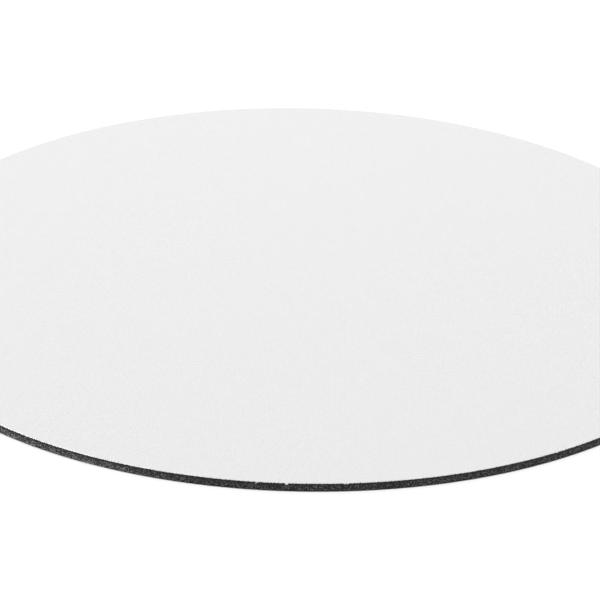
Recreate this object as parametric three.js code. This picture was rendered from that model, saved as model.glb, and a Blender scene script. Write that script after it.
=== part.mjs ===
// A round mouse pad: white woven cloth, bonded by a hot-melt film to a sheet of black foam rubber.
// The three sheets are laminated first and then cut out together with one round die.
// Millimetres, +Z up. The origin is the centre of the underside, where the pad lies on the desk.

import * as THREE from "three";

// Driving dimensions
const PAD_DIAMETER = 200;
const CLOTH_THICKNESS = 0.3;
const FILM_THICKNESS = 0.1;
const FOAM_THICKNESS = 1.8;

// The die drags the cloth down as it enters, which rounds the cloth's upper edge.
const CLOTH_EDGE_RADIUS = 0.18;
// Foam is squeezed under the die and springs back after the cut, which leaves its wall hollow by this much.
const FOAM_WALL_HOLLOW = 0.06;

// Facets of the round stretches
const STEPS_AROUND = 240;
const CLOTH_EDGE_STEPS = 4;
const FOAM_WALL_STEPS = 8;

const PAD_RADIUS = PAD_DIAMETER / 2;

const FINISHES = {
  cloth: new THREE.MeshStandardMaterial({ color: 0xeeeeee, roughness: 0.95, metalness: 0 }),
  film: new THREE.MeshStandardMaterial({ color: 0x2a2a2b, roughness: 0.45, metalness: 0 }),
  foam: new THREE.MeshStandardMaterial({ color: 0x3a3a3b, roughness: 0.9, metalness: 0 }),
};

// A round sheet with its underside at z = 0. The rim runs from the underside's edge to the upper
// face's edge as points of radius and height, and turns once about Z.
function roundSheet(rim) {
  const first = rim[0];
  const last = rim[rim.length - 1];
  const profile = [new THREE.Vector2(0, first.y), ...rim, new THREE.Vector2(0, last.y)];
  return new THREE.LatheGeometry(profile, STEPS_AROUND).rotateX(Math.PI / 2);
}

// The cut wall of the foam: an arc through its two edges that is drawn in at half height.
function foamRim() {
  const rim = [];
  for (let step = 0; step <= FOAM_WALL_STEPS; step += 1) {
    const share = step / FOAM_WALL_STEPS;
    const drawnIn = FOAM_WALL_HOLLOW * 4 * share * (1 - share);
    rim.push(new THREE.Vector2(PAD_RADIUS - drawnIn, FOAM_THICKNESS * share));
  }
  return rim;
}

// The film is cut square, between the foam's upper edge and the cloth's lower one.
function filmRim() {
  return [new THREE.Vector2(PAD_RADIUS, 0), new THREE.Vector2(PAD_RADIUS, FILM_THICKNESS)];
}

// The cloth's cut edge: straight up from the film, then a quarter round into the upper face.
function clothRim() {
  const radius = Math.min(CLOTH_EDGE_RADIUS, CLOTH_THICKNESS);
  const centre = new THREE.Vector2(PAD_RADIUS - radius, CLOTH_THICKNESS - radius);
  const rim = radius < CLOTH_THICKNESS ? [new THREE.Vector2(PAD_RADIUS, 0)] : [];
  for (let step = 0; step <= CLOTH_EDGE_STEPS; step += 1) {
    const angle = (Math.PI / 2) * (step / CLOTH_EDGE_STEPS);
    const reach = new THREE.Vector2(Math.cos(angle), Math.sin(angle)).multiplyScalar(radius);
    rim.push(centre.clone().add(reach));
  }
  return rim;
}

function layer(name, rim, finish, height) {
  const mesh = new THREE.Mesh(roundSheet(rim), finish);
  mesh.name = name;
  mesh.position.z = height;
  return mesh;
}

// The sheets lie face to face, each on the one below.
const FILM_HEIGHT = FOAM_THICKNESS;
const CLOTH_HEIGHT = FILM_HEIGHT + FILM_THICKNESS;

const mousePad = new THREE.Group();
mousePad.add(
  layer("foam_base", foamRim(), FINISHES.foam, 0),
  layer("bonding_film", filmRim(), FINISHES.film, FILM_HEIGHT),
  layer("cloth_top", clothRim(), FINISHES.cloth, CLOTH_HEIGHT),
);

export default mousePad;
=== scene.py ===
"""Dresses a round mouse pad and stands it in a white studio.

The pad is a laminate of three sheets that one die cuts out together: woven cloth on top, a hot-melt film
under it and a sheet of sponge rubber. Each operator makes one of them, or one detail of them, around the
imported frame. Lengths are metres, +Z is up, and the pad lies on z = 0 with its front towards -Y.
"""

import math

import bpy
import numpy as np
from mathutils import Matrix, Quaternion, Vector


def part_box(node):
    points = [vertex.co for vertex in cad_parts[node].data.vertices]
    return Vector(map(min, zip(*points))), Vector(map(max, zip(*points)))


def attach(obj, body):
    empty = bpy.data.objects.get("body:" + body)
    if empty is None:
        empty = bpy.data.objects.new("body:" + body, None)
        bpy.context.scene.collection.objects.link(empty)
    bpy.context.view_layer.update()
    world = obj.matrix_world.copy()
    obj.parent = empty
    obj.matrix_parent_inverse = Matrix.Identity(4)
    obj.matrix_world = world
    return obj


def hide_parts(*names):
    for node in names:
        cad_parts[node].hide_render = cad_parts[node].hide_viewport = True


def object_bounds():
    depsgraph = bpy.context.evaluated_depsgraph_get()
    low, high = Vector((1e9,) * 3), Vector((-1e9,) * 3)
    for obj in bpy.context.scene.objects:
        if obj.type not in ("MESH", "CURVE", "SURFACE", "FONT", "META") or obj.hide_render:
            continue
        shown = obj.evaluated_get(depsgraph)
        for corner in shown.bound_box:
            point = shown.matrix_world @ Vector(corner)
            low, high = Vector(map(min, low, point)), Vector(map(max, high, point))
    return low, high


bl_info = {
    "name": "Mouse pad dresser",
    "version": (1, 0, 0),
    "blender": (4, 5, 0),
    "location": "View3D > Sidebar > Mouse pad",
    "description": "Makes the cloth, film and sponge rubber of a round mouse pad, and its studio",
    "category": "Object",
}

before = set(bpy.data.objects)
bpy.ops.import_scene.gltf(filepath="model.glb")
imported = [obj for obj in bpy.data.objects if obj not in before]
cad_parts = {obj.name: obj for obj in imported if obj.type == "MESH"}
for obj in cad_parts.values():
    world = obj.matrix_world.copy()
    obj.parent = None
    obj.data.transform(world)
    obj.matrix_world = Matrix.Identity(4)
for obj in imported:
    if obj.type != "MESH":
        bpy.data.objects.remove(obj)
CAD_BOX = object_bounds()
BODY = "root"
MM = 0.001

# What the frame gives: the die's circle and the height of each face between the sheets.
PAD_RADIUS = (CAD_BOX[1].x - CAD_BOX[0].x) / 2
SPONGE_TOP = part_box("foam_base")[1].z
FILM_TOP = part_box("bonding_film")[1].z
CLOTH_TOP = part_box("cloth_top")[1].z

# The map that the weave is drawn on repeats over the cloth, a whole number of threads each way.
MAP_NAME = "OFBake"
WARP_COUNT = 100
WEFT_COUNT = 38


# Settings that a user may change

def length(name, description, default):
    """A size, in metres."""
    return bpy.props.FloatProperty(
        name=name, description=description, default=default, precision=5, subtype="DISTANCE", unit="LENGTH"
    )


def angle(name, description, degrees):
    """An angle, given in degrees and kept in radians."""
    return bpy.props.FloatProperty(
        name=name, description=description, default=math.radians(degrees), subtype="ANGLE", unit="ROTATION"
    )


def share(name, description, default):
    """A part of a whole, or a level where 1 is plain white."""
    return bpy.props.FloatProperty(
        name=name, description=description, default=default, min=0.0, soft_max=1.0, subtype="FACTOR"
    )


def grey(name, description, level):
    """A neutral colour."""
    return bpy.props.FloatVectorProperty(
        name=name, description=description, default=(level, level, level), min=0.0, max=1.0, subtype="COLOR"
    )


class ClothSettings(bpy.types.PropertyGroup):
    """The woven cloth, its cut edge and the circle that the whole pad is cut to."""

    lobe: length("Lobe", "How far the relaxed sheet stands out of round, on three lobes", 0.44 * MM)
    lobe_angle: angle("Lobe angle", "Where the first lobe lies, from +X", -26.1)
    warp_pitch: length("Warp pitch", "Spacing of the threads that run front to back", 0.27 * MM)
    weft_pitch: length("Weft pitch", "Spacing of the threads that run across", 0.72 * MM)
    edge_radius: length(
        "Edge radius", "Rounding of the upper edge, where the die drags the cloth down", 0.18 * MM
    )
    thread_relief: length("Thread relief", "Height of a thread's crown over the gaps beside it", 0.03 * MM)
    end_length: length("End length", "How far a cut thread usually stands out of the edge", 0.06 * MM)
    frayed_length: length(
        "Frayed length", "How far the threads stand out where the edge is frayed", 0.55 * MM
    )
    crown: grey("Crown", "Colour of the threads' crowns", 0.95)
    # The gap colour is painted shade between the threads, which the weave also lays on the weft's lower
    # floats.
    gap: grey("Gap", "Colour between the threads", 0.77)
    cut_end: grey("Cut end", "Colour of the cut thread ends", 0.85)


class FilmSettings(bpy.types.PropertyGroup):
    """The hot-melt film between the cloth and the sponge rubber."""

    squeeze: length("Squeeze", "How far the film is pressed out or drawn in along its rim", 0.04 * MM)
    creep: length("Creep", "How far the adhesive creeps up the cloth's cut edge in places", 0.1 * MM)
    body: grey("Body", "Colour of the film", 0.016)
    scuff: grey("Scuff", "Colour where the die scuffed the film", 0.03)


class SpongeSettings(bpy.types.PropertyGroup):
    """The sheet of sponge rubber, its cut wall and its moulded underside."""

    wall_hollow: length("Wall hollow", "How far the cut wall is drawn in at half height", 0.06 * MM)
    cell: length("Cell", "Spacing of the cells that the die cut open", 0.35 * MM)
    cell_depth: length("Cell depth", "Depth of the deepest cut cells", 0.22 * MM)
    # The cut wall is darker for this far down from its top, under the film.
    darker_top: length("Darker top", "How far down the film's adhesive darkens the cut wall", 0.8 * MM)
    border: length("Border", "Width of the plain border round the underside", 1.6 * MM)
    grip_pitch: length("Grip pitch", "Spacing of the grip's diamonds across their corners", 3.0 * MM)
    grip_groove: length("Grip groove", "Width of the grooves between the diamonds", 0.5 * MM)
    grip_depth: length("Grip depth", "Depth of those grooves", 0.18 * MM)
    cut_face: grey("Cut face", "Colour of the rubber where the die cut through it", 0.208)
    # Inside a cut cell the colour is painted shade.
    hollow: grey("Hollow", "Colour inside a cut cell", 0.016)
    skin: grey("Skin", "Colour of the moulded underside", 0.03)


class StudioSettings(bpy.types.PropertyGroup):
    """The floor, the light and the camera. A light's level is how bright it makes a white card facing it."""

    sky: share("Sky", "Level of the even light from all round", 0.32)
    key: share("Key", "Level of the large soft light overhead, behind the pad", 0.783)
    left: share("Left", "Level of the low light on the left", 0.26)
    right: share("Right", "Level of the low light on the right", 0.27)
    front: share("Front", "Level of the low light in front", 0.39)
    strip: share("Strip", "Level of the light strip on the floor along the pad's left edge", 8.2)
    floor: grey("Floor", "Colour of the floor as the pad is lit by it", 0.75)
    floor_glow: share("Floor glow", "Part of the floor's white that no shadow reaches", 0.89)
    floor_shade: share("Floor shade", "Part of the floor's white that shadows take away", 0.15)
    contact: length(
        "Contact shadow", "How far the dark line along the pad's foot reaches over the floor", 0.45 * MM
    )
    distance: length("Camera distance", "From the camera to the point it is aimed at", 0.9437)
    elevation: angle("Camera elevation", "Height of the camera over that point", 26.18)
    roll: angle("Camera roll", "Turn of the camera about its own line of sight", 1.2136)
    aim_x: length("Aim to the right", "Where the camera is aimed, from the pad's centre", -0.59 * MM)
    aim_y: length("Aim to the back", "Where the camera is aimed, from the pad's centre", -7.05 * MM)
    lens: bpy.props.FloatProperty(
        name="Lens", description="Focal length on a 36 mm sensor", default=242.27, unit="CAMERA"
    )


# Shapes

# On a flat face, each row of points has this many times the points of the next row inside it, until a row
# is short enough for a fan.
ROW_RATIO = 4
FAN_STEPS = 64


class Shape:
    """The points and faces of one piece, gathered as whole arrays."""

    def __init__(self):
        self.points = []
        self.faces = []
        self.count = 0

    def place(self, points):
        """Adds points, with x, y and z last, and returns their numbers in the same layout."""
        numbers = np.arange(self.count, self.count + points.size // 3)
        self.points.append(points.reshape(-1, 3))
        self.count += len(numbers)
        return numbers.reshape(points.shape[:-1])

    def cover(self, corners, finish=0, smooth=True, chart=None):
        """Adds faces as rows of corner numbers. chart holds each corner's u and v on the piece's map."""
        sides = corners.shape[-1]
        if chart is None:
            chart = np.zeros((*corners.shape, 2))
        self.faces.append((corners.reshape(-1, sides), finish, smooth, chart.reshape(-1, 2)))

    def at(self, corners):
        """The places of corner numbers."""
        return np.concatenate(self.points)[corners]

    def make(self, name, materials, slot, mapped=False):
        """Writes the arrays into a mesh, and makes it a piece of the pad."""
        blocks = [block for block, *_ in self.faces]
        sides = np.concatenate([np.full(len(block), block.shape[1]) for block in blocks])
        corners = np.concatenate([block.ravel() for block in blocks])
        mesh = bpy.data.meshes.new(name)
        mesh.vertices.add(self.count)
        mesh.vertices.foreach_set("co", np.concatenate(self.points).ravel())
        mesh.loops.add(len(corners))
        mesh.loops.foreach_set("vertex_index", corners)
        mesh.polygons.add(len(sides))
        mesh.polygons.foreach_set("loop_start", np.cumsum(sides) - sides)
        for field, column in (("material_index", 1), ("use_smooth", 2)):
            values = np.concatenate([np.full(len(face[0]), face[column]) for face in self.faces])
            mesh.polygons.foreach_set(field, values)
        if mapped:
            chart = np.concatenate([face[3] for face in self.faces])
            mesh.uv_layers.new(name=MAP_NAME).data.foreach_set("uv", chart.ravel())
        mesh.update(calc_edges=True)
        for material in materials:
            mesh.materials.append(material)
        piece = bpy.data.objects.new(name, mesh)
        bpy.context.scene.collection.objects.link(piece)
        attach(piece, BODY)
        return piece


def ring(radius, turn, height):
    """Points about the pad's axis: x and y are the radius times the turn's cosine and sine."""
    radius, turn, height = np.broadcast_arrays(radius, turn, height)
    return np.stack((radius * np.cos(turn), radius * np.sin(turn), height), axis=-1)


def turns(count, first=0.0):
    """Equal steps of angle, once round."""
    return first + np.arange(count) * (2 * np.pi / count)


def rim_radius(turn):
    """The die's circle plus three shallow lobes: lobe times the cosine of three times the angle."""
    cloth = bpy.context.scene.pad_cloth
    return PAD_RADIUS + cloth.lobe * np.cos(3 * (turn - cloth.lobe_angle))


def band(rows):
    """Four-sided faces between closed rows of points, facing out where the rows climb."""
    after = np.roll(rows, -1, axis=1)
    return np.stack((rows[:-1], after[:-1], after[1:], rows[1:]), axis=-1)


def thin_out(outer, inner):
    """Upward seven-sided faces from a closed row to one inside it that has a quarter of its points."""
    fours = outer.reshape(-1, ROW_RATIO)
    fifth = np.roll(fours[:, 0], -1)
    return np.column_stack((fours, fifth, np.roll(inner, -1), inner))


def close_face(shape, rim, turn, radius, height, up, finish=0, chart=None):
    """Closes a flat face inside a closed row. Each row further in has a quarter of the points and lies
    one of its own steps inside the last, and a fan from the innermost row ends on the axis."""
    faces = []
    while len(rim) % ROW_RATIO == 0 and len(rim) > FAN_STEPS:
        turn = turn[::ROW_RATIO]
        radius = radius * (1 - 2 * np.pi / len(turn))
        inner = shape.place(ring(radius, turn, height))
        faces.append(thin_out(rim, inner))
        rim = inner
    pole = shape.place(ring(0.0, 0.0, height))
    faces.append(np.stack((rim, np.roll(rim, -1), np.full(len(rim), pole)), axis=-1))
    for block in faces:
        block = block if up else block[:, ::-1]
        places = chart(shape.at(block)) if chart else None
        shape.cover(block, finish, False, places)


# The woven cloth

CLOTH_STEPS = 160
EDGE_STEPS = 6
# On the map, the underside lies this many repeats of the weave away from the upper face.
UNDERSIDE_REPEATS = 40


def square_to_disc(steps):
    """A square grid pressed into a unit disc. A point's larger coordinate is its radius, and the ratio of
    its coordinates, times an eighth of a turn, is its angle within its quarter."""
    line = np.linspace(-1, 1, steps + 1)
    across, along = np.meshgrid(line, line)
    wide = np.abs(across) >= np.abs(along)
    reach = np.where(wide, across, along)
    safe = np.where(reach == 0, 1, reach)
    lean = np.pi / 4 * np.where(wide, along, across) / safe
    turn = np.where(wide, lean, np.pi / 2 - lean)
    return np.abs(reach), turn + np.pi * (reach < 0)


def grid_rim(numbers):
    """The outer points of a square grid of point numbers, anticlockwise from the right side's low end."""
    right, top, left, low = numbers[:, -1], numbers[-1, ::-1], numbers[::-1, 0], numbers[0]
    return np.concatenate((right[:-1], top[:-1], left[:-1], low[:-1]))


def repeat_chart(cloth):
    """The cloth's map: x and y over the size of one repeat of the weave."""
    size = np.array((WARP_COUNT * cloth.warp_pitch, WEFT_COUNT * cloth.weft_pitch))
    return lambda places: places[..., :2] / size


def shape_cloth(cloth):
    """The upper face is a square grid pressed into the pad's outline. Its edge is a quarter round that
    falls to the cut, and the cut goes straight down to the film."""
    shape = Shape()
    chart = repeat_chart(cloth)
    reach, turn = square_to_disc(CLOTH_STEPS)
    top = shape.place(ring(reach * (rim_radius(turn) - cloth.edge_radius), turn, CLOTH_TOP))
    faces = np.stack((top[:-1, :-1], top[:-1, 1:], top[1:, 1:], top[1:, :-1]), axis=-1)
    shape.cover(faces, 0, False, chart(shape.at(faces)))

    rim_turn = turns(4 * CLOTH_STEPS, -np.pi / 4)
    fall = np.linspace(0, np.pi / 2, EDGE_STEPS + 1)[:0:-1, None]
    inset = cloth.edge_radius * (1 - np.sin(fall))
    height = CLOTH_TOP - cloth.edge_radius * (1 - np.cos(fall))
    rounded = shape.place(ring(rim_radius(rim_turn) - inset, rim_turn, height))
    foot = shape.place(ring(rim_radius(rim_turn), rim_turn, FILM_TOP))
    rows = np.vstack((foot, rounded, grid_rim(top)))
    faces = band(rows)
    shape.cover(faces, 0, True, chart(shape.at(faces)))

    def under(places):
        return chart(places) + UNDERSIDE_REPEATS

    close_face(shape, foot, rim_turn, PAD_RADIUS, FILM_TOP, False, 0, under)
    return shape


class PAD_OT_weave_cloth(bpy.types.Operator):
    """Make the woven cloth that the mouse slides on"""

    bl_idname = "mousepad.weave_cloth"
    bl_label = "Weave the cloth"

    def execute(self, context):
        cloth = context.scene.pad_cloth
        piece = shape_cloth(cloth).make("woven_cloth", [woven_polyester(cloth)], "cloth", mapped=True)
        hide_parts("cloth_top")
        return {"FINISHED"}


# The cut thread ends

END_SIDES = 6
END_SEED = 11
# Where along a thread end its rings lie, from inside the edge to near the tip, and how wide they are.
END_RINGS = np.array(((0.0, 1.0), (0.5, 0.95), (0.85, 0.6)))
# How deep an end is rooted in the edge, and how far its middle lies under the cloth's face, give or take.
END_ROOT = 0.35 * MM
END_BELOW = 0.105 * MM
END_BELOW_VARIES = 0.025 * MM
# Half the height of an end, the width of a weft's end in weft pitches, and the widest end in warp pitches.
END_HALF_HEIGHT = 0.11 * MM
WEFT_END_WIDTH = 0.5
WIDEST_END = 2
# Half the thickness of a loose strand.
STRAND_HALF = 0.055 * MM
# The longest end that stays in the edge, as a multiple of the usual one.
END_LONGEST = 3.0
# How much the ends' lengths spread about the usual one, and their sway to the sides as a share of the length.
LENGTH_SPREAD = 0.8
SWAY_SPREAD = 0.35
# The least and the most of what is drawn evenly: lengths of loose strands as shares of the place's own, droop
# as a share of the length, and widths and heights of ends as shares of the usual ones.
STRAND_LENGTHS = (0.6, 1.1)
STRAND_DROOP = (0.3, 0.6)
END_DROOP = (0.3, 1.0)
END_WIDTHS = (0.8, 1.1)
END_HEIGHTS = (0.65, 1.1)
# Places along the front where the edge is frayed: the angle from +X in degrees, how far the loose strands
# spread along the edge in millimetres, how many there are, and their length as a share of the longest.
FRAYED = np.array(
    (
        (-107.7, 0.7, 30, 0.55),
        (-95.1, 0.1, 10, 1.0),
        (-91.45, 0.14, 34, 1.0),
        (-84.2, 0.3, 24, 0.7),
        (-56.2, 0.15, 12, 0.65),
        (-55.2, 0.1, 8, 0.6),
    )
)


def thread_ends(pitch):
    """The angles, from a thread's own direction, at which evenly spaced threads meet the circle."""
    count = int(PAD_RADIUS / pitch)
    offset = (np.arange(-count, count) + 0.5) * pitch
    return np.arcsin(offset / PAD_RADIUS)


def shape_thread_ends(cloth):
    """Each end is a short bundle whose rings are ellipses. It points out of the edge, and droops with the
    square of the distance from it. Lengths are drawn about the usual one. At the frayed places, thin strands
    stand further out."""
    random = np.random.default_rng(END_SEED)
    warp = thread_ends(cloth.warp_pitch)
    weft = thread_ends(cloth.weft_pitch)
    loose = np.repeat(FRAYED, FRAYED[:, 2].astype(int), axis=0)
    frayed = np.radians(loose[:, 0]) + random.normal(0.0, loose[:, 1] * MM / PAD_RADIUS)
    turn = np.concatenate((np.pi / 2 - warp, -np.pi / 2 + warp, weft, np.pi - weft, frayed))
    ends = len(turn)
    is_warp = np.arange(ends) < 2 * len(warp)
    is_loose = np.arange(ends) >= ends - len(frayed)

    stand_out = cloth.end_length * np.minimum(random.lognormal(0.0, LENGTH_SPREAD, ends), END_LONGEST)
    stand_out[is_loose] = cloth.frayed_length * loose[:, 3] * random.uniform(*STRAND_LENGTHS, len(loose))
    strand_droop = random.uniform(*STRAND_DROOP, ends)
    end_droop = random.uniform(*END_DROOP, ends)
    droop = stand_out * np.where(is_loose, strand_droop, end_droop)
    sway = stand_out * random.normal(0.0, SWAY_SPREAD, ends)
    width = np.where(is_warp, cloth.warp_pitch / np.abs(np.sin(turn)), WEFT_END_WIDTH * cloth.weft_pitch)
    half_width = np.minimum(width, WIDEST_END * cloth.warp_pitch) / 2 * random.uniform(*END_WIDTHS, ends)
    half_width = np.where(is_loose, STRAND_HALF, half_width)
    half_height = np.where(is_loose, STRAND_HALF, END_HALF_HEIGHT * random.uniform(*END_HEIGHTS, ends))
    middle = CLOTH_TOP - END_BELOW + END_BELOW_VARIES * random.uniform(-1.0, 1.0, ends)

    out = np.stack((np.cos(turn), np.sin(turn), np.zeros(ends)), axis=-1)[:, None, None]
    side = np.stack((-np.sin(turn), np.cos(turn), np.zeros(ends)), axis=-1)[:, None, None]
    up = np.array((0.0, 0.0, 1.0))
    start = ring(rim_radius(turn) - END_ROOT, turn, middle)[:, None, None]
    along = END_RINGS[:, 0][:, None, None]
    wide = END_RINGS[:, 1][:, None, None]
    face = turns(END_SIDES)[:, None]

    def per_end(values):
        return values[:, None, None, None]

    def carried(along):
        return (
            start
            + out * per_end(END_ROOT + stand_out) * along
            + side * per_end(sway) * along ** 2
            - up * per_end(droop) * along ** 2
        )

    section = side * per_end(half_width) * np.cos(face) + up * per_end(half_height) * np.sin(face)
    shape = Shape()
    rings = shape.place(carried(along) + section * wide)
    tips = shape.place(carried(np.ones((1, 1, 1)))[:, 0, 0])
    after = np.roll(rings, -1, axis=2)
    shape.cover(np.stack((rings[:, :-1], after[:, :-1], after[:, 1:], rings[:, 1:]), axis=-1))
    last = rings[:, -1]
    shape.cover(np.stack((last, after[:, -1], np.broadcast_to(tips[:, None], last.shape)), axis=-1))
    shape.cover(rings[:, 0, ::-1])
    return shape


class PAD_OT_fray_edge(bpy.types.Operator):
    bl_idname = "mousepad.fray_edge"
    bl_label = "Fray the cut edge"

    def execute(self, context):
        cloth = context.scene.pad_cloth
        ends = shape_thread_ends(cloth).make("cut_thread_ends", [cut_polyester(cloth)], "cloth")
        return {"FINISHED"}


# The hot-melt film

FILM_STEPS = 5120
FILM_ROWS = 4
FILM_SEED = 5
CREEP_SEED = 7
# The uneven lines round the film: the fewest and the most waves in one turn, and how many are added up.
SQUEEZE_WAVES = (60, 600, 24)
CREEP_WAVES = (400, 1300, 24)
# The most that the lip of adhesive climbs, as a multiple of the creep, and how far it stands out of the cut.
CREEP_MOST = 1.3
LIP_PROUD = 0.02 * MM


def ripple(turn, seed, slowest, fastest, waves):
    """An uneven line that closes on itself: the sum of sines with whole numbers of waves in one turn, over
    the root of how many they are."""
    random = np.random.default_rng(seed)
    number = random.integers(slowest, fastest, waves)
    phase = random.uniform(0, 2 * np.pi, waves)
    return np.sin(turn[:, None] * number + phase).sum(axis=1) / math.sqrt(waves)


def shape_film(film):
    """The rim bulges by the sine of the height, times an uneven line round the pad. Its upper edge is a lip
    that climbs the cloth's cut edge by what a finer uneven line has above its middle."""
    shape = Shape()
    turn = turns(FILM_STEPS)
    share_up = np.linspace(0, 1, FILM_ROWS + 1)[:, None]
    bulge = film.squeeze * ripple(turn, FILM_SEED, *SQUEEZE_WAVES) * np.sin(np.pi * share_up)
    height = SPONGE_TOP + (FILM_TOP - SPONGE_TOP) * share_up + np.zeros(FILM_STEPS)
    height[-1] += film.creep * np.clip(ripple(turn, CREEP_SEED, *CREEP_WAVES), 0, CREEP_MOST)
    wall = shape.place(ring(rim_radius(turn) + bulge + LIP_PROUD * share_up, turn, height))
    seat = shape.place(ring(rim_radius(turn), turn, FILM_TOP))
    shape.cover(band(np.vstack((wall, seat))))
    close_face(shape, wall[0], turn, PAD_RADIUS, SPONGE_TOP, False)
    close_face(shape, seat, turn, PAD_RADIUS, FILM_TOP, True)
    return shape


class PAD_OT_lay_film(bpy.types.Operator):
    """Make the film that bonds the cloth to the sponge rubber"""

    bl_idname = "mousepad.lay_film"
    bl_label = "Lay the film"

    def execute(self, context):
        film = context.scene.pad_film
        piece = shape_film(film).make("pressed_film", [hot_melt(film)], "film")
        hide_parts("bonding_film")
        return {"FINISHED"}


# The sponge rubber

WALL_STEPS = 5120
WALL_ROWS = 16
CELL_SEED = 23
CELL_ATTRIBUTE = "cut_cell"
# The cut cells, in steps of their grid: how far the middles stray, and the least and the most of the radius.
# Their depths are shares of the deepest.
CELL_STRAY = 0.3
CELL_RADII = (0.35, 0.72)
CELL_DEPTHS = (0.25, 1.0)
# The sponge's map: the wall in strips, with their height, the space between them and the margin round them,
# and the middle and radius of the upper face and of the underside, with room for the pad's lobes.
WALL_STRIPS = 8
WALL_STRIP_TALL = 0.028
WALL_STRIP_SPACE = 0.003
MAP_MARGIN = 0.002
UPPER_DISC = ((0.87, 0.86), 0.11)
UNDER_DISC = ((0.37, 0.63), 0.35)
DISC_ROOM = 1.01


def cut_cells(turn, height, cell):
    """How deep each point of the wall lies in a cut cell, from 0 to 1. The cells are round hollows about
    the points of an uneven grid, each with a radius and depth of its own, and the deepest one counts."""
    random = np.random.default_rng(CELL_SEED)
    columns = round(2 * np.pi * PAD_RADIUS / cell)
    rows = round(SPONGE_TOP / cell)
    table = (columns, rows + 2)
    stray_u = random.uniform(-CELL_STRAY, CELL_STRAY, table)
    stray_v = random.uniform(-CELL_STRAY, CELL_STRAY, table)
    radius = random.uniform(*CELL_RADII, table)
    depth = random.uniform(*CELL_DEPTHS, table)
    u = turn / (2 * np.pi) * columns
    v = height / SPONGE_TOP * rows
    column, row = np.floor(u).astype(int), np.floor(v).astype(int)
    deepest = np.zeros(np.broadcast(u, v).shape)
    for step_u in (-1, 0, 1):
        for step_v in (-1, 0, 1):
            near = ((column + step_u) % columns, np.clip(row + step_v + 1, 0, rows + 1))
            away_u = u - (column + step_u + 0.5 + stray_u[near])
            away_v = v - (row + step_v + 0.5 + stray_v[near])
            inside = 1 - (away_u ** 2 + away_v ** 2) / radius[near] ** 2
            deepest = np.maximum(deepest, depth[near] * np.clip(inside, 0, 1))
    return deepest


def wall_chart(rows):
    """The wall's place on the map: equal strips of the wall, stacked up the map's lower part."""
    count = rows.shape[1]
    step = np.arange(count)
    strip = step * WALL_STRIPS // count
    left = step * WALL_STRIPS / count - strip
    low = strip * (WALL_STRIP_TALL + WALL_STRIP_SPACE) + MAP_MARGIN
    up = np.linspace(0, WALL_STRIP_TALL, rows.shape[0])
    u = np.stack((left, left + WALL_STRIPS / count), axis=-1)[:, (0, 1, 1, 0)]
    v = low[None, :, None] + np.stack((up[:-1], up[1:]), axis=-1)[:, None, (0, 0, 1, 1)]
    return np.stack(np.broadcast_arrays(u[None] * (1 - 2 * MAP_MARGIN) + MAP_MARGIN, v), axis=-1)


def disc_chart(middle, radius):
    """A flat face's place on the map: a disc of that middle and radius."""
    return lambda places: np.array(middle) + places[..., :2] * (radius / (DISC_ROOM * PAD_RADIUS))


def shape_sponge(sponge):
    """The wall's radius is the pad's, less a shallow hollow at half height and the cut cells. The underside
    has a plain border, and inside it a recess that the grip stands in."""
    shape = Shape()
    turn = turns(WALL_STEPS)
    share_up = np.linspace(0, 1, WALL_ROWS + 1)[:, None]
    height = SPONGE_TOP * share_up
    cells = cut_cells(turn[None], height, sponge.cell)
    inset = sponge.wall_hollow * 4 * share_up * (1 - share_up) + sponge.cell_depth * cells
    rows = shape.place(ring(rim_radius(turn) - inset, turn, height))
    shape.cover(band(rows), 0, True, wall_chart(rows))
    close_face(shape, rows[-1], turn, PAD_RADIUS, SPONGE_TOP, True, 0, disc_chart(*UPPER_DISC))

    under = disc_chart(*UNDER_DISC)
    few = turn[::ROW_RATIO]
    inner = rim_radius(few) - sponge.border
    edge = shape.place(ring(inner, few, 0.0))
    recess = shape.place(ring(inner - sponge.grip_depth, few, sponge.grip_depth))
    faces = thin_out(rows[0], edge)[:, ::-1]
    shape.cover(faces, 1, False, under(shape.at(faces)))
    faces = band(np.vstack((edge, recess)))[..., ::-1]
    shape.cover(faces, 1, False, under(shape.at(faces)))
    close_face(shape, recess, few, PAD_RADIUS - sponge.border, sponge.grip_depth, False, 1, under)

    depths = np.zeros(shape.count, np.float32)
    depths[rows] = cells
    return shape, depths


class PAD_OT_cut_sponge(bpy.types.Operator):
    """Make the sheet of sponge rubber with its cut wall"""

    bl_idname = "mousepad.cut_sponge"
    bl_label = "Cut the sponge rubber"

    def execute(self, context):
        sponge = context.scene.pad_sponge
        shape, depths = shape_sponge(sponge)
        materials = [cut_sponge(sponge), moulded_skin(sponge)]
        piece = shape.make("sponge_sheet", materials, "foam", mapped=True)
        cells = piece.data.attributes.new(CELL_ATTRIBUTE, "FLOAT", "POINT")
        cells.data.foreach_set("value", depths)
        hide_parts("foam_base")
        return {"FINISHED"}


# The grip under the pad

# The rings of a stud: its height as a share of the groove's depth, and its size as a share of the base's.
STUD_RINGS = np.array(((1.15, 1.0), (0.25, 0.95), (0.0, 0.8)))
STUD_CORNERS = 4


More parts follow.
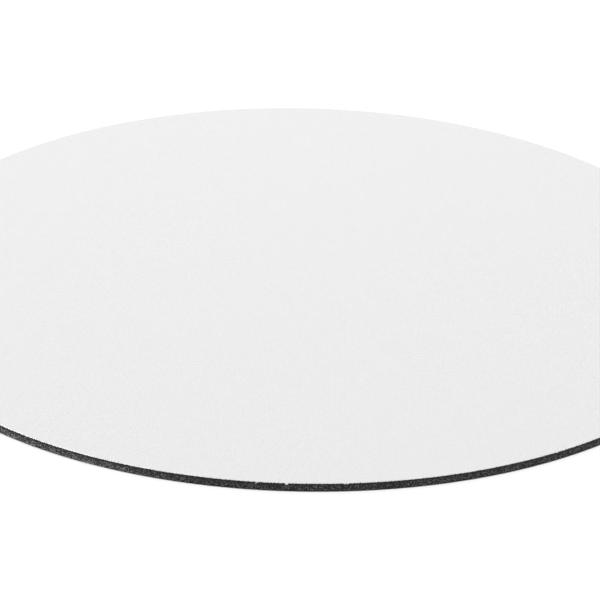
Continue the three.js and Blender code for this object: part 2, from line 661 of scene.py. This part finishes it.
def shape_grip(sponge):
    """Diamonds on a staggered lattice: every second row is moved by half a pitch. Each is a low frustum with
    a bevelled end, whose rings have four corners, and only whole ones inside the border are kept."""
    pitch = sponge.grip_pitch
    half = pitch / 2 - sponge.grip_groove / math.sqrt(2)
    reach = PAD_RADIUS - sponge.border - sponge.grip_depth - half
    count = int(PAD_RADIUS / pitch) + 1
    column, row = np.meshgrid(np.arange(-count, count), np.arange(-2 * count, 2 * count))
    x = (column + 0.5 * (row % 2)) * pitch
    y = row * pitch / 2
    kept = np.hypot(x, y) < reach
    centre = np.stack((x[kept], y[kept], np.zeros(kept.sum())), axis=-1)[:, None, None]

    size = half * STUD_RINGS[:, 1][:, None]
    corners = ring(size, turns(STUD_CORNERS)[None], sponge.grip_depth * STUD_RINGS[:, 0][:, None])
    shape = Shape()
    rings = shape.place(centre + corners[None])
    after = np.roll(rings, -1, axis=2)
    sides = np.stack((rings[:, :-1], rings[:, 1:], after[:, 1:], after[:, :-1]), axis=-1)
    shape.cover(sides, 0, False)
    shape.cover(rings[:, -1, ::-1], 0, False)
    shape.cover(rings[:, 0], 0, False)
    return shape


class PAD_OT_mould_grip(bpy.types.Operator):
    """Make the diamonds moulded into the underside, which keep the pad from sliding"""

    bl_idname = "mousepad.mould_grip"
    bl_label = "Mould the grip"

    def execute(self, context):
        sponge = context.scene.pad_sponge
        shape_grip(sponge).make("grip_diamonds", [moulded_skin(sponge)], "foam")
        return {"FINISHED"}


# Materials

# Filaments that show across a thread, and how much of the weave's height and tone they and each float's
# own tone make up. The filaments' part of the tone is painted shade.
WARP_FILAMENTS = 4
WEFT_FILAMENTS = 9
FILAMENT_SHARE = 0.06
OWN_TONE_SHARE = 0.15
# How full the floats are, how high the weft's are against the warp's, and how much of the tone falls off
# towards the gaps, as painted shade.
MOUND_POWER = 0.7
WEFT_HEIGHT = 0.6
GAP_SHARE = 0.35
# The warp and the weft pass into each other where the product of their waves lies within this of 0.
PASSING = 0.72
# The grain's noise, and the part of its range that is spread over 0 to 1.
GRAIN_NOISE = {"Detail": 3.0, "Roughness": 0.6}
GRAIN_RANGE = (0.3, 0.7)
# How dark the shaded fibres of a cut end are against the rest, and how pale the worn skin is against its own.
SHADED_SHARE = 0.88
WORN_SHARE = 1.5
# Size of the small cells in the cut rubber, the distances from a cell's middle between which its floor rises
# to the ridge, and the depths in a large cell between which the worn grey goes dark. The dark in the cells,
# large and small, is painted shade.
SMALL_CELL = 0.16 * MM
RIDGE_RISE = (0.15, 0.6)
CELL_DARKENS = (0.02, 0.3)
# How much of the worn grey is left at the very top of the cut wall, where it is darkest.
DARKEST_TOP_SHARE = 0.15


def add_node(tree, kind, inputs=None, **settings):
    """Adds a node with its settings. inputs holds a value, or the output that feeds it, for each socket."""
    made = tree.nodes.new(kind)
    for name, value in settings.items():
        setattr(made, name, value)
    for socket, value in (inputs or {}).items():
        if isinstance(value, bpy.types.NodeSocket):
            tree.links.new(value, made.inputs[socket])
        else:
            made.inputs[socket].default_value = value
    return made


def maths(tree, operation, *values):
    """A Math node's output."""
    return add_node(tree, "ShaderNodeMath", dict(enumerate(values)), operation=operation).outputs[0]


def blend_colours(tree, amount, low, high):
    """The colour between two, by an amount from 0 to 1."""
    made = add_node(tree, "ShaderNodeMix", {0: amount, 6: (*low, 1), 7: (*high, 1)}, data_type="RGBA")
    return made.outputs[2]


def blend_values(tree, amount, low, high):
    """The value between two, by an amount from 0 to 1."""
    return add_node(tree, "ShaderNodeMix", {0: amount, 2: low, 3: high}).outputs[0]


def ramp(tree, value, start, end, low=0.0, high=1.0, smooth=True):
    """What goes from low to high as a value goes from start to end, eased at both ends or even."""
    limits = {0: value, 1: start, 2: end, 3: low, 4: high}
    ease = "SMOOTHSTEP" if smooth else "LINEAR"
    return add_node(tree, "ShaderNodeMapRange", limits, interpolation_type=ease).outputs[0]


def new_group(name, inputs, output_names):
    """A shader node group with value inputs beside its Vector, and value outputs."""
    group = bpy.data.node_groups.new(name, "ShaderNodeTree")
    group.interface.new_socket(name="Vector", in_out="INPUT", socket_type="NodeSocketVector")
    for socket in inputs:
        group.interface.new_socket(name=socket, in_out="INPUT", socket_type="NodeSocketFloat")
    for socket in output_names:
        group.interface.new_socket(name=socket, in_out="OUTPUT", socket_type="NodeSocketFloat")
    return group, group.nodes.new("NodeGroupInput").outputs, group.nodes.new("NodeGroupOutput").inputs


def weave_group():
    """A plain weave. Two sines, one across the warp and one across the weft, change sign from thread to
    thread, so where their product is above 0 the warp lies on top, and where it is below 0 the weft does. A
    power of the product's size is the height of the float, a rounded mound that falls to the gaps round it,
    and the weft's floats are lower. Fine sines along the upper thread are its filaments. Each float has a
    tone of its own, which repeats with the map. The rest of the tone is painted shade: it falls towards the
    gaps, is low on the weft's floats and follows the filaments' lines."""
    name = "Plain weave"
    if name in bpy.data.node_groups:
        return bpy.data.node_groups[name]
    inputs = ("Warp Pitch", "Weft Pitch", "Warp Count", "Weft Count")
    group, given, result = new_group(name, inputs, ("Height", "Tone"))
    place = add_node(group, "ShaderNodeSeparateXYZ", {0: given["Vector"]}).outputs
    waves = []
    threads = []
    filaments = []
    for axis, thread, lines in (("X", "Warp", WARP_FILAMENTS), ("Y", "Weft", WEFT_FILAMENTS)):
        position = maths(group, "DIVIDE", place[axis], given[thread + " Pitch"])
        waves.append(maths(group, "SINE", maths(group, "MULTIPLY", position, math.pi)))
        number = maths(group, "FLOOR", position)
        threads.append(maths(group, "FLOORED_MODULO", number, given[thread + " Count"]))
        filaments.append(maths(group, "SINE", maths(group, "MULTIPLY", position, 2 * math.pi * lines)))
    crossing = maths(group, "MULTIPLY", *waves)
    warp_over = ramp(group, crossing, -PASSING, PASSING)
    mound = maths(group, "POWER", maths(group, "ABSOLUTE", crossing), MOUND_POWER)
    lines = blend_values(group, warp_over, filaments[1], filaments[0])
    raised = maths(group, "MULTIPLY", mound, blend_values(group, warp_over, WEFT_HEIGHT, 1.0))
    height = maths(group, "MULTIPLY_ADD", lines, FILAMENT_SHARE, raised)
    stitch = add_node(group, "ShaderNodeCombineXYZ", {0: threads[0], 1: threads[1]}).outputs[0]
    own_tone = add_node(group, "ShaderNodeTexWhiteNoise", {"Vector": stitch}, noise_dimensions="2D")
    # Painted shade: the tone is low on the weft's floats and falls towards the gaps.
    tone = blend_values(group, GAP_SHARE, warp_over, mound)
    tone = blend_values(group, OWN_TONE_SHARE, tone, own_tone.outputs["Value"])
    group.links.new(height, result["Height"])
    # The filaments' lines in the tone are painted shade.
    group.links.new(maths(group, "MULTIPLY_ADD", lines, FILAMENT_SHARE, tone), result["Tone"])
    return group


def grain_group():
    """Fine uneven grain: noise of several sizes, with the middle of its range spread over 0 to 1."""
    name = "Fine grain"
    if name in bpy.data.node_groups:
        return bpy.data.node_groups[name]
    group, given, result = new_group(name, ("Size",), ("Grain",))
    scale = maths(group, "DIVIDE", 1.0, given["Size"])
    noise = add_node(group, "ShaderNodeTexNoise", {"Vector": given["Vector"], "Scale": scale, **GRAIN_NOISE})
    group.links.new(ramp(group, noise.outputs[0], *GRAIN_RANGE, smooth=False), result["Grain"])
    return group


def new_material(name, **constants):
    """A material with one Principled BSDF, and the constants that are the same all over it."""
    material = bpy.data.materials.new(name)
    material.use_nodes = True
    shader = material.node_tree.nodes["Principled BSDF"]
    for socket, value in constants.items():
        shader.inputs[socket.replace("_", " ")].default_value = value
    place = material.node_tree.nodes.new("ShaderNodeTexCoord").outputs["Object"]
    return material, material.node_tree, shader.inputs, place


def use_group(tree, group, place, **values):
    """A group's outputs in a material, with its own values."""
    made = add_node(tree, "ShaderNodeGroup", node_tree=group)
    tree.links.new(place, made.inputs["Vector"])
    for socket, value in values.items():
        made.inputs[socket.replace("_", " ")].default_value = value
    return made.outputs


def raise_relief(tree, shader, height, distance):
    """Relief from a height of 0 to 1, as deep as the distance."""
    bump = add_node(tree, "ShaderNodeBump", {"Height": height, "Distance": distance})
    tree.links.new(bump.outputs[0], shader["Normal"])


def woven_polyester(cloth):
    """White threads, dull, with painted shade in the gaps between them and on the weft's lower floats."""
    material, tree, shader, place = new_material("Woven polyester", Roughness=1.0, Specular_IOR_Level=0.0)
    weave = use_group(
        tree,
        weave_group(),
        place,
        Warp_Pitch=cloth.warp_pitch,
        Weft_Pitch=cloth.weft_pitch,
        Warp_Count=WARP_COUNT,
        Weft_Count=WEFT_COUNT,
    )
    tree.links.new(blend_colours(tree, weave["Tone"], cloth.gap, cloth.crown), shader["Base Color"])
    raise_relief(tree, shader, weave["Height"], cloth.thread_relief)
    return material


def cut_polyester(cloth):
    """Loose fibres at the cut: white, with a little grain."""
    material, tree, shader, place = new_material("Cut polyester", Roughness=1.0, Specular_IOR_Level=0.0)
    grain = use_group(tree, grain_group(), place, Size=0.08 * MM)["Grain"]
    shaded = [SHADED_SHARE * level for level in cloth.cut_end]
    tree.links.new(blend_colours(tree, grain, shaded, cloth.cut_end), shader["Base Color"])
    raise_relief(tree, shader, grain, distance=0.01 * MM)
    return material


def hot_melt(film):
    """Dark adhesive, smooth where it flowed and dull where the die scuffed it."""
    material, tree, shader, place = new_material("Hot-melt film", Specular_IOR_Level=0.3)
    grain = use_group(tree, grain_group(), place, Size=0.25 * MM)["Grain"]
    tree.links.new(blend_colours(tree, grain, film.body, film.scuff), shader["Base Color"])
    tree.links.new(blend_values(tree, grain, low=0.45, high=0.8), shader["Roughness"])
    raise_relief(tree, shader, grain, distance=0.015 * MM)
    return material


def cut_sponge(sponge):
    """Cut rubber: a worn grey on the walls between the opened cells, large and small, and painted shade in
    the cells, which deepens with a large cell's depth. The wall is also darker towards its top, under the
    film."""
    material, tree, shader, place = new_material("Cut sponge rubber", Roughness=0.9, Specular_IOR_Level=0.25)
    cell = add_node(tree, "ShaderNodeAttribute", attribute_name=CELL_ATTRIBUTE).outputs["Fac"]
    # Painted shade: the worn grey goes dark as a large cell deepens, and towards the middle of each small
    # cell.
    wall = ramp(tree, cell, *CELL_DARKENS, low=1.0, high=0.0)
    small = add_node(tree, "ShaderNodeTexVoronoi", {"Vector": place, "Scale": 1.0 / SMALL_CELL})
    ridge = ramp(tree, small.outputs["Distance"], *RIDGE_RISE, smooth=False)
    grain = use_group(tree, grain_group(), place, Size=0.26 * MM)["Grain"]
    height = add_node(tree, "ShaderNodeSeparateXYZ", {0: place}).outputs["Z"]
    # The cut wall is darker towards its top, under the film.
    darker_at_top = ramp(tree, height, SPONGE_TOP - sponge.darker_top, SPONGE_TOP, low=1.0, high=DARKEST_TOP_SHARE)
    worn = maths(tree, "MULTIPLY", wall, maths(tree, "MULTIPLY", ridge, grain))
    worn = maths(tree, "MULTIPLY", worn, darker_at_top)
    tree.links.new(blend_colours(tree, worn, sponge.hollow, sponge.cut_face), shader["Base Color"])
    raise_relief(tree, shader, ridge, distance=0.04 * MM)
    return material


def moulded_skin(sponge):
    """The closed skin of the underside: even, fine-grained and a little less dull than a cut."""
    name = "Moulded rubber skin"
    if name in bpy.data.materials:
        return bpy.data.materials[name]
    material, tree, shader, place = new_material(name, Specular_IOR_Level=0.35)
    grain = use_group(tree, grain_group(), place, Size=0.35 * MM)["Grain"]
    worn = [WORN_SHARE * level for level in sponge.skin]
    tree.links.new(blend_colours(tree, grain, sponge.skin, worn), shader["Base Color"])
    tree.links.new(blend_values(tree, grain, low=0.7, high=0.85), shader["Roughness"])
    raise_relief(tree, shader, grain, distance=0.02 * MM)
    return material


# The stage

FLOOR_RADIUS = 1.2
FLOOR_STEPS = 96
# Between these distances from the pad's centre the floor's shaded white passes into an even white.
EVEN_WHITE_FROM = 0.16
EVEN_WHITE_TO = 0.4
# How steeply the dark line along the pad's foot falls off.
CONTACT_POWER = 2.0
# The light strip on the floor: how far it reaches from the pad's foot, and where along X it sets in and
# comes to its full level.
STRIP_REACH = 3.5 * MM
STRIP_FROM = -22.0 * MM
STRIP_FULL = -75.0 * MM
# Where the soft boxes stand and how large they are: azimuth and elevation in degrees, and then distance,
# width and height in metres.
SOFT_BOXES = {
    "key": (-160, 62, 2.05, 1.5, 1.5),
    "left": (-80, 5, 4.0, 1.4, 0.4),
    "right": (80, 6, 3.0, 1.0, 0.4),
    "front": (0, 7, 3.0, 1.4, 0.6),
}
# The camera's sensor, in millimetres.
SENSOR_WIDTH = 36.0


def seen_directly(tree):
    """1 where the camera, a reflection or a clear piece looks at a surface, and 0 where light falls on it."""
    path = add_node(tree, "ShaderNodeLightPath").outputs
    seen = maths(tree, "MAXIMUM", path["Is Camera Ray"], path["Is Glossy Ray"])
    return maths(tree, "MAXIMUM", seen, path["Is Transmission Ray"])


def studio_floor(studio):
    """White where it is looked at, with the pad's shadow. As a source of light it has the plain floor colour
    and a light strip along the pad, which fades with the distance from it and grows to the left."""
    material = bpy.data.materials.new("Studio floor")
    material.use_nodes = True
    material.cycles.emission_sampling = "NONE"
    tree = material.node_tree
    tree.nodes.clear()
    place = add_node(tree, "ShaderNodeTexCoord").outputs["Object"]
    away = add_node(tree, "ShaderNodeVectorMath", {0: place}, operation="LENGTH").outputs["Value"]
    bare = add_node(tree, "ShaderNodeBsdfDiffuse", {"Color": (*studio.floor, 1)}).outputs[0]
    across = add_node(tree, "ShaderNodeSeparateXYZ", {0: place}).outputs["X"]
    strip_end = PAD_RADIUS + STRIP_REACH
    close_by = ramp(tree, away, PAD_RADIUS, strip_end, low=studio.strip, high=0.0, smooth=False)
    on_left = ramp(tree, across, STRIP_FROM, STRIP_FULL, smooth=False)
    level = maths(tree, "MULTIPLY", close_by, on_left)
    strip = add_node(tree, "ShaderNodeEmission", {"Strength": level}).outputs[0]
    plain = add_node(tree, "ShaderNodeAddShader", {0: bare, 1: strip}).outputs[0]

    shaded = add_node(tree, "ShaderNodeBsdfDiffuse", {"Color": (*[studio.floor_shade] * 3, 1)}).outputs[0]
    open_sky = add_node(tree, "ShaderNodeAmbientOcclusion", {"Distance": studio.contact}).outputs["AO"]
    lit = maths(tree, "MULTIPLY", maths(tree, "POWER", open_sky, CONTACT_POWER), studio.floor_glow)
    glow = add_node(tree, "ShaderNodeEmission", {"Strength": lit}).outputs[0]
    near = add_node(tree, "ShaderNodeAddShader", {0: shaded, 1: glow}).outputs[0]
    white = add_node(tree, "ShaderNodeEmission", {"Strength": 1.0}).outputs[0]
    even = ramp(tree, away, EVEN_WHITE_FROM, EVEN_WHITE_TO)
    looked_at = add_node(tree, "ShaderNodeMixShader", {0: even, 1: near, 2: white}).outputs[0]

    seen = seen_directly(tree)
    surface = add_node(tree, "ShaderNodeMixShader", {0: seen, 1: plain, 2: looked_at}).outputs[0]
    add_node(tree, "ShaderNodeOutputMaterial", {"Surface": surface})
    return material


def lay_floor(studio):
    """A round floor under the pad: one flat face inside a ring about the pad's axis."""
    mesh = bpy.data.meshes.new("floor")
    rim = ring(FLOOR_RADIUS, turns(FLOOR_STEPS), 0.0)
    mesh.from_pydata(rim.tolist(), [], [list(range(FLOOR_STEPS))])
    mesh.materials.append(studio_floor(studio))
    floor = bpy.data.objects.new("floor", mesh)
    bpy.context.scene.collection.objects.link(floor)


def direction(azimuth, elevation):
    """A unit vector: azimuth turns from the front towards the right, and elevation rises from the floor."""
    level = math.cos(elevation)
    return Vector((math.sin(azimuth) * level, -math.cos(azimuth) * level, math.sin(elevation)))


def soft_box(name, azimuth, elevation, distance, width, height, level):
    """A rectangular lamp that faces the pad. Its power is its level times pi squared times the distance
    squared, because a white card that faces the lamp then renders at that level."""
    lamp = bpy.data.lights.new(name, "AREA")
    lamp.shape = "RECTANGLE"
    lamp.size = width
    lamp.size_y = height
    lamp.energy = level * math.pi ** 2 * distance ** 2
    box = bpy.data.objects.new(name, lamp)
    towards = direction(math.radians(azimuth), math.radians(elevation))
    box.location = towards * distance
    box.rotation_euler = towards.to_track_quat("Z", "Y").to_euler()
    bpy.context.scene.collection.objects.link(box)


def light_sky(studio):
    """Even light from all round, and white where it is looked at."""
    world = bpy.data.worlds.new("Studio")
    world.use_nodes = True
    tree = world.node_tree
    strength = blend_values(tree, seen_directly(tree), studio.sky, 1.0)
    sky = tree.nodes["Background"]
    sky.inputs["Color"].default_value = (1, 1, 1, 1)
    tree.links.new(strength, sky.inputs["Strength"])
    bpy.context.scene.world = world


def aim_camera(studio):
    """A camera on the front side, which looks down at the aim and rolls about its line of sight."""
    lens = bpy.data.cameras.new("camera")
    lens.sensor_width = SENSOR_WIDTH
    lens.lens = studio.lens
    camera = bpy.data.objects.new("camera", lens)
    towards = direction(0.0, studio.elevation)
    camera.location = Vector((studio.aim_x, studio.aim_y, 0.0)) + towards * studio.distance
    look = towards.to_track_quat("Z", "Y")
    camera.rotation_euler = (look @ Quaternion((0, 0, 1), studio.roll)).to_euler()
    bpy.context.scene.collection.objects.link(camera)
    bpy.context.scene.camera = camera


class PAD_OT_set_stage(bpy.types.Operator):
    """Lay the floor, set up the lights and aim the camera"""

    bl_idname = "mousepad.set_stage"
    bl_label = "Set the stage"

    def execute(self, context):
        studio = context.scene.pad_studio
        context.scene.view_settings.view_transform = "Standard"
        aim_camera(studio)
        lay_floor(studio)
        light_sky(studio)
        for name, place in SOFT_BOXES.items():
            soft_box(name, *place, getattr(studio, name))
        return {"FINISHED"}


# The add-on

SETTINGS = {
    "pad_cloth": ClothSettings,
    "pad_film": FilmSettings,
    "pad_sponge": SpongeSettings,
    "pad_studio": StudioSettings,
}
OPERATORS = (
    PAD_OT_set_stage,
    PAD_OT_weave_cloth,
    PAD_OT_fray_edge,
    PAD_OT_lay_film,
    PAD_OT_cut_sponge,
    PAD_OT_mould_grip,
)


class PAD_PT_sidebar(bpy.types.Panel):
    """Lists the steps that make the mouse pad, and their settings"""

    bl_idname = "PAD_PT_sidebar"
    bl_label = "Mouse pad"
    bl_space_type = "VIEW_3D"
    bl_region_type = "UI"
    bl_category = "Mouse pad"

    def draw(self, context):
        for operator in OPERATORS:
            self.layout.operator(operator.bl_idname)
        for name, settings in SETTINGS.items():
            box = self.layout.box()
            for field in settings.__annotations__:
                box.prop(getattr(context.scene, name), field)


def register():
    """Makes the settings, the operators and the panel known to Blender."""
    for kind in (*SETTINGS.values(), *OPERATORS, PAD_PT_sidebar):
        bpy.utils.register_class(kind)
    for name, settings in SETTINGS.items():
        setattr(bpy.types.Scene, name, bpy.props.PointerProperty(type=settings))


def unregister():
    """Takes all of them out again."""
    for name in SETTINGS:
        delattr(bpy.types.Scene, name)
    for kind in (PAD_PT_sidebar, *reversed(OPERATORS), *SETTINGS.values()):
        bpy.utils.unregister_class(kind)


def main():
    """Sets the stage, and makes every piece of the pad."""
    register()
    bpy.ops.mousepad.set_stage()
    bpy.ops.mousepad.weave_cloth()
    bpy.ops.mousepad.fray_edge()
    bpy.ops.mousepad.lay_film()
    bpy.ops.mousepad.cut_sponge()
    bpy.ops.mousepad.mould_grip()


if __name__ == "__main__":
    main()
